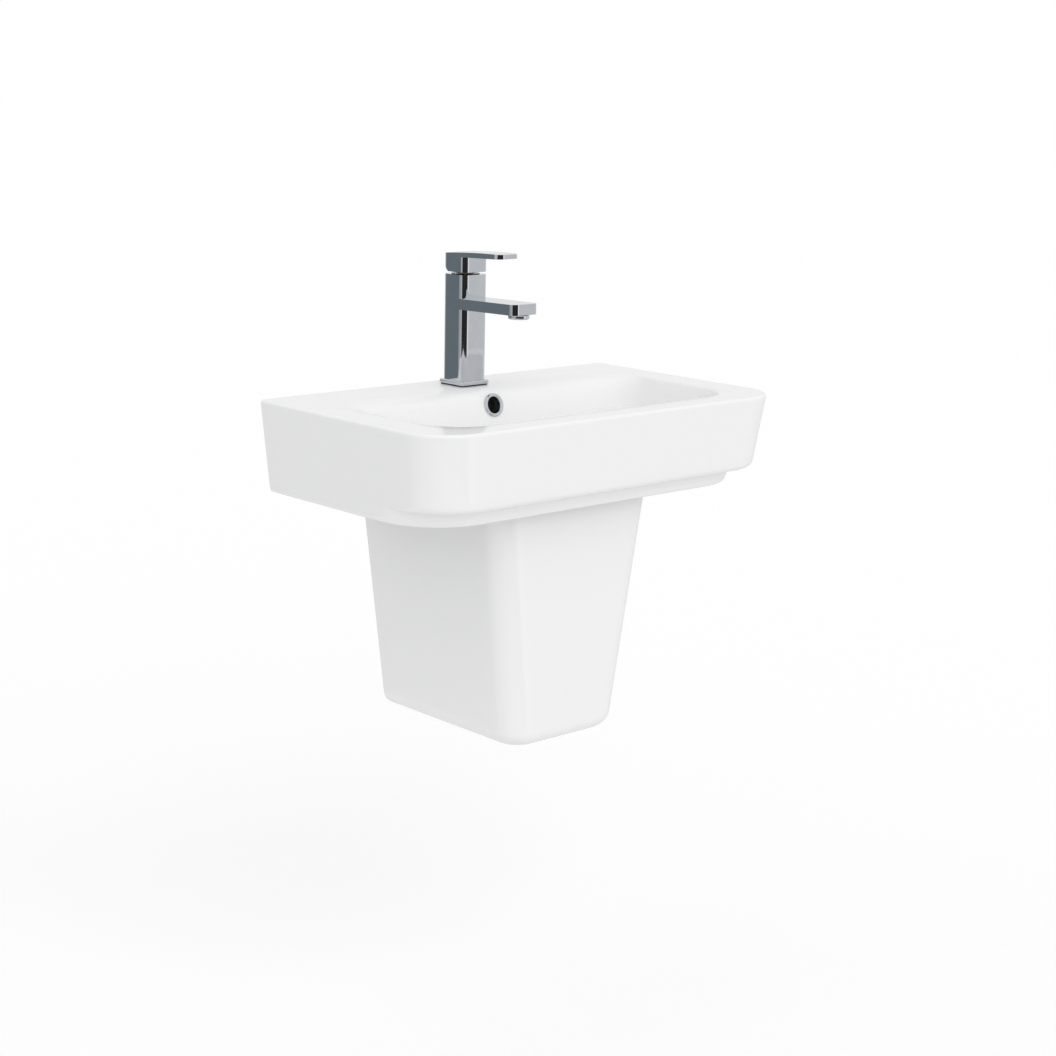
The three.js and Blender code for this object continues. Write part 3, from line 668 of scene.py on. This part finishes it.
def buildTapBody():
    size = tapSize
    half, y = size["half"], size["y"]
    body = slab("tapBody", chrome, -half, half, y - half, y + half, size["bottom"], size["top"],
                size["corner"])
    bm = bmesh.new()
    tipTop, tipBottom = size["spoutTop"] + size["spoutRise"], size["spoutBottom"] + size["spoutRise"]
    root = y - half + size["corner"]
    profileBlock(bm, [(root + 8, size["spoutTop"] - 0.14), (root + 8, size["spoutBottom"] - 0.14),
                      (size["spoutFront"], tipBottom), (size["spoutFront"], tipTop)], half)
    bevelWhere(bm, lambda edge: isUpright(edge) and edge.verts[0].co.y < (size["spoutFront"] + 1) * mm,
               size["corner"], 14)
    carve(body, [toObject(bm, "spout", chrome)], "UNION")
    chamber = size["chamber"]
    tools = [rod("cartridgeChamber", chrome, (0, y, 100), (0, y, 150), chamber, 64),
             rod("hoseSocket", chrome, (0, y, 0), (0, y, 32), chamber, 64),
             rod("aeratorChamber", chrome, (0, size["aeratorY"], 90), (0, size["aeratorY"], 114),
                 size["aeratorBore"], 64)]
    carve(body, tools, "DIFFERENCE")
    soften(body, size["edge"], 3)
    mount(body, "basin_set", "chrome", "tap_body")


def buildTapPlate():
    size = tapSize
    half, y, inner = size["plateHalf"], size["y"], size["half"] + 0.15
    plate = slab("tapPlate", chrome, -half, half, y - half, y + half, size["bottom"], size["plateTop"],
                 size["plateCorner"])
    soften(plate, 1.4, 4, 50)
    carve(plate, [slab("plateHole", chrome, -inner, inner, y - inner, y + inner, 0, 9, size["corner"])])
    mount(plate, "basin_set", "chrome", "tap_base_plate")


def buildAerator():
    y, radius = tapSize["aeratorY"], tapSize["aeratorRadius"]
    housing = spun("aeratorHousing", chrome, (0, y, 0), "Z", [
        (9.8, 98.6), (9.8, 110.5), (11.3, 110.5), (11.3, 104.1), (radius, 104.1), (radius, 100.4),
        (radius - 0.8, 98.6)], 0.5)
    mount(housing, "basin_set", "chrome", "aerator_housing")
    bm = bmesh.new()
    bmesh.ops.create_grid(bm, x_segments=14, y_segments=14, size=10 * mm,
                          matrix=Matrix.Translation(point(0, y, 100)))
    outside = [face for face in bm.faces if (face.calc_center_median() - point(0, y, 100)).length > 9.2 * mm]
    bmesh.ops.delete(bm, geom=outside, context="FACES")
    inset = bmesh.ops.inset_individual(bm, faces=bm.faces, thickness=0.28 * mm, depth=0)["faces"]
    cells = [face for face in bm.faces if face not in set(inset)]
    bmesh.ops.delete(bm, geom=cells, context="FACES_ONLY")
    mesh = toObject(bm, "aeratorMesh", whiteNylon)
    wall = mesh.modifiers.new("wall", "SOLIDIFY")
    wall.thickness = 4 * mm
    wall.offset = 1
    settle(mesh)
    mount(mesh, "basin_set", "nylon", "aerator_insert")


def buildCollar():
    top = tapSize["top"]
    # the collar is painted near-black as painted shade for the gap under the lever
    collar = spun("leverCollar", paintedShadeCollar, (0, tapSize["y"], 0), "Z", [
        (12.2, 139.3), (13.7, 139.3), (13.7, top + 0.3), (19.2, top + 0.3), (19.2, top + 0.6),
        (18.6, top + 0.8), (12.2, top + 0.8)], 0.15, 72)
    mount(collar, "basin_set", "dark_chrome", "cartridge_nut")


leverSize = {
    "rear": -27, "bottom": 152, "chamferY": 11.6, "chamferZ": 10, "top": 175.8, "crown": (-89, 181.4),
    "tip": -137, "tipTop": 180.6, "tipBottom": 174.6, "bladeBottom": 172.6, "bladeHalf": 18,
}


def cornerTools(half, front, radius, z0, z1):  # what rounding takes off a block's two front corners
    tools = []
    for side in (-1, 1):
        x, far = side * (half - radius), side * (half + 2)
        tool = slab("cornerTool", chrome, min(x, far), max(x, far), front - 2, front + radius, z0, z1)
        spot = (x, front + radius)
        carve(tool, [rod("cornerRound", chrome, (*spot, z0 - 1), (*spot, z1 + 1), radius, 64)])
        tools.append(tool)
    return tools


def buildLever():
    size = leverSize
    half, corner, y = tapSize["half"], tapSize["corner"], tapSize["y"]
    front = y - half
    top, middle, tip = (Vector(spot) for spot in ((size["rear"], size["top"]), size["crown"],
                                                  (size["tip"], size["tipTop"])))
    crown = [tuple(top.lerp(middle, t).lerp(middle.lerp(tip, t), t)) for t in (i / 8 for i in range(1, 8))]
    view = [(front, size["bottom"]), (size["rear"] - size["chamferY"], size["bottom"]),
            (size["rear"], size["bottom"] + size["chamferZ"]), (size["rear"], size["top"]), *crown,
            (size["tip"], size["tipTop"]), (size["tip"], size["tipBottom"]), (front, size["bladeBottom"])]
    bm = bmesh.new()
    profileBlock(bm, view, half)
    taperFrom, taperTo = front + corner, size["tip"] + corner
    for vert in bm.verts:  # the blade narrows towards its tip
        share = (taperFrom - vert.co.y / mm) / (taperFrom - taperTo)
        if share > 0 and vert.co.y < (front + 0.1) * mm:
            vert.co.x *= 1 - min(share, 1) * (1 - size["bladeHalf"] / half)
    ends = ((size["rear"] - 0.1) * mm, (size["tip"] + 0.1) * mm)
    bevelWhere(bm, lambda edge: isUpright(edge) and not ends[1] <= edge.verts[0].co.y <= ends[0], corner, 14)
    lever = toObject(bm, "leverHandle", chrome)
    tools = cornerTools(half, front, corner, size["bottom"] - 1, size["bladeBottom"])
    tools += [slab("stemPocket", chrome, -4.3, 4.3, y - 3.3, y + 9.3, 150, 166.5),
              rod("screwWay", chrome, (0, y + 5, 160), (0, size["rear"] + 1, 160), 2.8, 32)]
    carve(lever, tools)
    soften(lever, tapSize["edge"], 3)
    mount(lever, "lever", "chrome", "lever_handle")


buildTapBody()
buildTapPlate()
buildAerator()
buildCollar()
buildLever()
print("tap built")

# ---- waste ----


def buildWaste():
    y, seat = drain["y"], drain["seat"]
    body = spun("wasteBody", chrome, (0, y, 0), "Z", [
        (19, -178), (21, -178), (21, seat + 2.3), (32, seat + 2.3), (32, seat + 3.4), (29.5, seat + 5),
        (26.8, seat + 5), (24.5, seat + 3.6), (19, seat + 3.6)], 0.6, 72)
    carve(body, [slab("wasteSlot", chrome, -23, 23, y - 5, y + 5, -121, -113)])
    mount(body, "basin_set", "chrome", "waste_body")
    plug = spun("wastePlugCap", chrome, (0, y, 0), "Z", [
        (0, seat + 4.4), (22, seat + 4.4), (24, seat + 6.2), (30, seat + 6.2), (31.2, seat + 7.2),
        (30.4, seat + 8.7), (20, seat + 9.7), (0, seat + 10)], 0.8, 72)
    mount(plug, "waste_plug", "chrome", "waste_plug")


buildWaste()

# ---- bottle trap, valves and hoses ----

trap = {"outletZ": -290}


def buildTrap():
    y = drain["y"]
    nut = spun("trapInletNut", chrome, (0, y, 0), "Z", [
        (21.4, -166), (25.5, -166), (25.5, -188), (16.4, -188), (16.4, -181), (21.4, -181)], 1.0)
    mount(nut, "basin_set", "chrome", "trap_inlet_nut")
    pipe = spun("trapDipPipe", chrome, (0, y, 0), "Z", [
        (14.4, -320), (16, -320), (16, -180.7), (20.8, -180.7), (20.8, -178.3), (14.4, -178.3)], 0.3)
    mount(pipe, "basin_set", "chrome", "trap_inlet_pipe")
    bottle = spun("trapBottle", chrome, (0, y, 0), "Z", [
        (16.3, -246), (21, -246), (21, -262), (30, -267), (30, -318), (26.5, -318), (26.5, -270),
        (16.3, -266)], 1.6)
    z = trap["outletZ"]
    carve(bottle, [rod("branch", chrome, (0, y + 27, z), (0, y + 48, z), 19, 64)], "UNION")
    carve(bottle, [rod("branchWay", chrome, (0, y + 20, z), (0, y + 49, z), 16.4, 64)])
    soften(bottle, 0.8, 3)
    mount(bottle, "basin_set", "chrome", "trap_body")
    cup = spun("trapCup", chrome, (0, y, 0), "Z", [
        (0, -352), (24, -352), (30, -346), (30, -331), (31.5, -331), (31.5, -318.4), (26.6, -318.4),
        (26.6, -342), (22, -348), (0, -348)], 1.4)
    mount(cup, "basin_set", "chrome", "trap_cup")
    along = [("trapOutletNut", "trap_outlet_nut", [(16.3, y + 48.4), (22.5, y + 48.4), (22.5, y + 66),
                                                   (16.3, y + 66)], 1.2),
             ("trapOutletPipe", "trap_outlet_pipe", [(14.4, y + 32), (16, y + 32), (16, 0), (14.4, 0)], 0.3),
             ("trapRosette", "trap_rosette", [(16.4, -0.3), (35, -0.3), (35, -2), (27, -10),
                                              (16.4, -10)], 0.9)]
    for name, node, profile, edge in along:
        mount(spun(name, chrome, (0, 0, z), "Y", profile, edge), "basin_set", "chrome", node)


buildTrap()

valve = {"x": 58, "z": -345, "outletY": -46, "hose": 4.5}


def hexPrism(name, material, start, end, acrossFlats, hole):
    nut = rod(name, material, start, end, acrossFlats / math.sqrt(3), 6)
    soften(nut, acrossFlats * 0.035, 2)
    direction = (Vector(end) - Vector(start)).normalized()
    bore = rod("bore", material, Vector(start) - direction, Vector(end) + direction, hole, 40)
    carve(nut, [bore], "DIFFERENCE", 30)
    return nut


def buildValve(side, label):
    x, z, y = side * valve["x"], valve["z"], valve["outletY"]
    rosette = spun("valveRosette." + label, chrome, (x, 0, z), "Y", [
        (8.6, -0.3), (27, -0.3), (27, -2), (20, -8), (8.6, -8)], 0.9)
    mount(rosette, "basin_set", "chrome", "valve_rosette_" + label)
    body = spun("valveBody." + label, chrome, (x, 0, z), "Y", [
        (5, 0), (8.2, 0), (8.2, -28), (12, -31), (12, -58), (10.5, -60), (5, -60)], 0.8)
    carve(body, [rod("outlet", chrome, (x, y, z), (x, y, z + 22), 7.5)], "UNION")
    carve(body, [rod("outletWay", chrome, (x, y, z), (x, y, z + 23), 4.4)])
    mount(body, "basin_set", "chrome", "valve_body_" + label)
    knob = spun("valveKnob." + label, chrome, (x, 0, z), "Y", [
        (0, -52.3), (4.6, -52.3), (4.6, -60.6), (12, -60.6), (14, -63), (14, -80), (12, -82), (0, -82)], 0.8)
    grip = slab("grip", chrome, x - 3, x + 3, -84, -70, z - 17, z + 17)
    soften(grip, 1.4, 3)
    carve(knob, [grip], "UNION", 35)
    mount(knob, "valve_knob_" + label, "chrome", "valve_knob_" + label)
    nut = hexPrism("hoseNut." + label, chrome, (x, y, z + 16), (x, y, z + 30), 19, 4.9)
    carve(nut, [rod("socket", chrome, (x, y, z + 15), (x, y, z + 22.4), 7.8)], "DIFFERENCE", 30)
    mount(nut, "basin_set", "chrome", "hose_nut_" + label)


def buildHose(side, label):
    x, z, y = side * valve["x"], valve["z"], valve["outletY"]
    tailX, tapY = side * 6.2, tapSize["y"]
    stops = [(x, y, z + 22.8), (x, y, z + 45), (x * 1.02, y - 4, z + 100), (x * 0.75, y - 14, z + 165),
             (x * 0.36, y - 10, z + 220), (tailX * 1.3, tapY - 5, z + 262), (tailX, tapY - 4, -45),
             (tailX, tapY - 4, -22)]
    path = smoothKeys(stops, 12)
    bm = bmesh.new()
    uv = bm.loops.layers.uv.new("along")
    sides = 20
    verts = bmesh.ops.create_circle(bm, segments=sides, radius=valve["hose"] * mm, cap_ends=False)["verts"]
    travelled = [0.0]
    for a, b in zip(path, path[1:]):
        travelled.append(travelled[-1] + (Vector(b) - Vector(a)).length)
    rings = []
    flat = [vert.co.copy() for vert in verts]
    for index, spot in enumerate(path):
        ahead = Vector(path[min(index + 1, len(path) - 1)]) - Vector(path[max(index - 1, 0)])
        turn = ahead.to_track_quat("Z", "Y").to_matrix()
        if index:
            verts = growRing(bm, verts)
        for vert, local in zip(verts, flat):
            vert.co = point(*spot) + turn @ local
        rings.append(list(verts))
    spots = {vert: (i, j) for j, ring in enumerate(rings) for i, vert in enumerate(ring)}
    for face in bm.faces:
        columns = [spots[loop.vert][0] for loop in face.loops]
        wraps = max(columns) - min(columns) > 1
        for loop in face.loops:
            i, j = spots[loop.vert]
            loop[uv].uv = ((i if i or not wraps else sides) / sides, travelled[j] / travelled[-1])
    for ring in (rings[0], rings[-1]):
        bmesh.ops.contextual_create(bm, geom=ring)
    hose = toObject(bm, "supplyHose." + label, wireBraid)
    mount(hose, "basin_set", "braid", "supply_hose_" + label)
    for name, z0, z1 in (("lowerFerrule.", z + 30.3, z + 46), ("upperFerrule.", -42, -24)):
        spot = (x, y, 0) if z0 < -100 else (tailX, tapY - 4, 0)
        ferrule = spun(name + label, zincSteel, spot, "Z", [
            (4.55, z0), (5.4, z0), (5.4, z0 + 5), (5.1, z0 + 6), (5.4, z0 + 7), (5.4, z1), (4.55, z1)],
            0.4, 32)
        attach(ferrule, "basin_set")


for side, label in ((-1, "hot"), (1, "cold")):
    buildValve(side, label)
    buildHose(side, label)
print("trap, valves and hoses built")

# ---- wall fixings ----


def threadedBolt(name, x, z, length, radius, pitch):
    profile = [(0, 0), (radius - 0.5, 0), (radius, -0.6)]
    along = -0.6
    while along - pitch > -length + 1.5:
        profile += [(radius, along - pitch * 0.1), (radius - pitch * 0.5, along - pitch * 0.5),
                    (radius, along - pitch * 0.9)]
        along -= pitch
    profile += [(radius - 0.2, -length + 1), (radius - 1, -length), (0, -length)]
    return spun(name, zincSteel, (x, 0, z), "Y", profile, 0.02, 28, 60)


def buildFixings(side, label):
    x, z = side * boltPlace["x"], boltPlace["z"]
    mount(threadedBolt("basinBolt." + label, x, z, 48, 5, 1.5), "basin_set", "steel", "basin_bolt_" + label)
    bush = spun("basinBush." + label, whiteNylon, (x, 0, z), "Y", [
        (5.3, -15.5), (14, -15.5), (14, -12.3), (7.6, -12.3), (7.6, -1), (5.3, -1)], 0.6, 48)
    mount(bush, "basin_set", "nylon", "basin_bush_" + label)
    washer = spun("basinWasher." + label, zincSteel, (x, 0, z), "Y", [
        (5.4, -17.8), (12.5, -17.8), (12.5, -15.8), (5.4, -15.8)], 0.3, 48)
    mount(washer, "basin_set", "steel", "basin_washer_" + label)
    nut = hexPrism("basinNut." + label, zincSteel, (x, -26.4, z), (x, -18.1, z), 17, 5.3)
    mount(nut, "basin_set", "steel", "basin_nut_" + label)
    x, z = side * pedestalSize["lugX"], pedestalSize["lugZ"]
    mount(threadedBolt("pedestalBolt." + label, x, z, 30, 4, 1.25), "basin_set", "steel",
          "pedestal_bolt_" + label)
    washer = spun("pedestalWasher." + label, whiteNylon, (x, 0, z), "Y", [
        (4.4, -13.1), (10, -13.1), (10, -11.3), (4.4, -11.3)], 0.3, 40)
    mount(washer, "basin_set", "nylon", "pedestal_washer_" + label)
    nut = hexPrism("pedestalNut." + label, zincSteel, (x, -20, z), (x, -13.4, z), 13, 4.3)
    mount(nut, "basin_set", "steel", "pedestal_nut_" + label)


for side, label in ((-1, "left"), (1, "right")):
    buildFixings(side, label)
print("fixings built")

# ---- CAD nodes that stay ----

slotOf = {part["node"]: part["material_slot"] for part in frame["record"]["subparts"]}
for name, node in frame["nodes"].items():
    node.data.materials.clear()
    node.data.materials.append(slotMaterials[slotOf[name]])

# ---- floor, light and camera ----

floorSize = {"drop": 850, "half": 60.0, "albedo": 0.8, "seen": 1.0, "lift": 0.08}
lightSetup = {"sky": 0.79, "leftFill": 0.2, "backdrop": 1.0, "sun": 0.62, "sunAngle": 60,
              "sunFrom": (-0.1, -0.85, 0.45)}


def buildFloor():  # the camera sees it paler than its bounce light, so that it runs into the backdrop
    bm = bmesh.new()
    bmesh.ops.create_grid(bm, x_segments=1, y_segments=1, size=floorSize["half"],
                          matrix=Matrix.Translation((0, 0, height(-floorSize["drop"]))))
    material, tree, shader = newMaterial("paleFloor")
    shader.inputs["Roughness"].default_value = 0.9
    shader.inputs["Specular IOR Level"].default_value = 0.0
    seen = addNode(tree, "ShaderNodeLightPath").outputs["Is Camera Ray"]
    tones = [(value, value, value) for value in (floorSize["albedo"], floorSize["seen"])]
    tree.links.new(blendColors(tree, seen, *tones), shader.inputs["Base Color"])
    shader.inputs["Emission Color"].default_value = (1, 1, 1, 1)
    tree.links.new(combine(tree, "MULTIPLY", seen, floorSize["lift"]), shader.inputs["Emission Strength"])
    floor = toObject(bm, "studioFloor", material)
    floor.visible_glossy = False


slate = (0.188, 0.222, 0.241)
# the room round the metal: bearing from -X (0) through -Y (0.25), +X (0.5) and +Y (0.75), and brightness
bands = [(0.0, 0.7), (0.03, 0.75), (0.045, 0.03), (0.285, 0.03), (0.3, 1.15), (0.34, 1.15), (0.355, 0.78),
         (0.5, 0.8), (0.62, 0.75), (0.78, 0.6), (0.81, slate), (0.88, slate), (0.9, 0.5)]


def buildWorld():  # even white light; polished metal sees a darker room with bright windows, below eye level
    world = bpy.data.worlds.new("softStudio")
    bpy.context.scene.world = world
    world.use_nodes = True
    tree = world.node_tree
    background = tree.nodes["Background"]
    direction = addNode(tree, "ShaderNodeTexCoord").outputs["Generated"]
    axes = addNode(tree, "ShaderNodeSeparateXYZ")
    tree.links.new(direction, axes.inputs["Vector"])
    turn = combine(tree, "ARCTAN2", axes.outputs["Y"], axes.outputs["X"])
    bearing = remap(tree, turn, -math.pi, math.pi, 0.0, 1.0)
    ramp = addNode(tree, "ShaderNodeValToRGB")
    tree.links.new(bearing, ramp.inputs["Fac"])
    elements = ramp.color_ramp.elements
    while len(elements) < len(bands):
        elements.new(0.5)
    for element, (place, value) in zip(elements, bands):
        element.position = place
        element.color = (*value, 1) if isinstance(value, tuple) else (value, value, value, 1)
    overhead = remap(tree, axes.outputs["Z"], -0.04, 0.0, 0.0, 1.0)
    underfoot = remap(tree, axes.outputs["Z"], -0.5, -0.42, 1.0, 0.0)
    even = combine(tree, "MAXIMUM", overhead, underfoot)
    seen = blendColors(tree, even, ramp.outputs["Color"], (0.9, 0.9, 0.9))
    path = addNode(tree, "ShaderNodeLightPath")
    leftward = combine(tree, "MULTIPLY", axes.outputs["X"], -lightSetup["leftFill"])
    toLeft = combine(tree, "MAXIMUM", leftward, 0.0)
    sky = combine(tree, "MULTIPLY", combine(tree, "ADD", toLeft, 1.0), lightSetup["sky"])
    plain = blendColors(tree, path.outputs["Is Camera Ray"], sky, [lightSetup["backdrop"]] * 3)
    tree.links.new(blendColors(tree, path.outputs["Is Glossy Ray"], plain, seen), background.inputs["Color"])


def addSun():
    light = bpy.data.lights.new("softSun", "SUN")
    light.energy = lightSetup["sun"]
    light.angle = math.radians(lightSetup["sunAngle"])
    sun = bpy.data.objects.new("softSun", light)
    bpy.context.scene.collection.objects.link(sun)
    sun.rotation_euler = Vector(lightSetup["sunFrom"]).to_track_quat("Z", "Y").to_euler()
    sun.visible_glossy = False


# the lens, where it stands (mm from the rim's middle at the wall) and how it is turned
cameraSetup = {"lens": 71.25, "spot": (-1810.5, -2176.0, 419.6), "yaw": 41.87, "pitch": 11.86, "roll": 1.06,
               "shift": (0.0125, -0.021)}


def buildCamera():
    data = bpy.data.cameras.new("roomView")
    data.lens = cameraSetup["lens"]
    data.sensor_width = 36
    data.shift_x, data.shift_y = cameraSetup["shift"]
    data.clip_end = 200
    camera = bpy.data.objects.new("roomView", data)
    bpy.context.scene.collection.objects.link(camera)
    yaw, pitch, roll = (math.radians(cameraSetup[key]) for key in ("yaw", "pitch", "roll"))
    turn = (Matrix.Rotation(-yaw, 4, "Z") @ Matrix.Rotation(math.pi / 2 - pitch, 4, "X")
            @ Matrix.Rotation(roll, 4, "Z"))
    camera.matrix_world = Matrix.Translation(point(*cameraSetup["spot"])) @ turn
    bpy.context.scene.camera = camera


buildFloor()
buildWorld()
addSun()
buildCamera()
bpy.context.scene.view_settings.view_transform = "Standard"
print("studio ready")
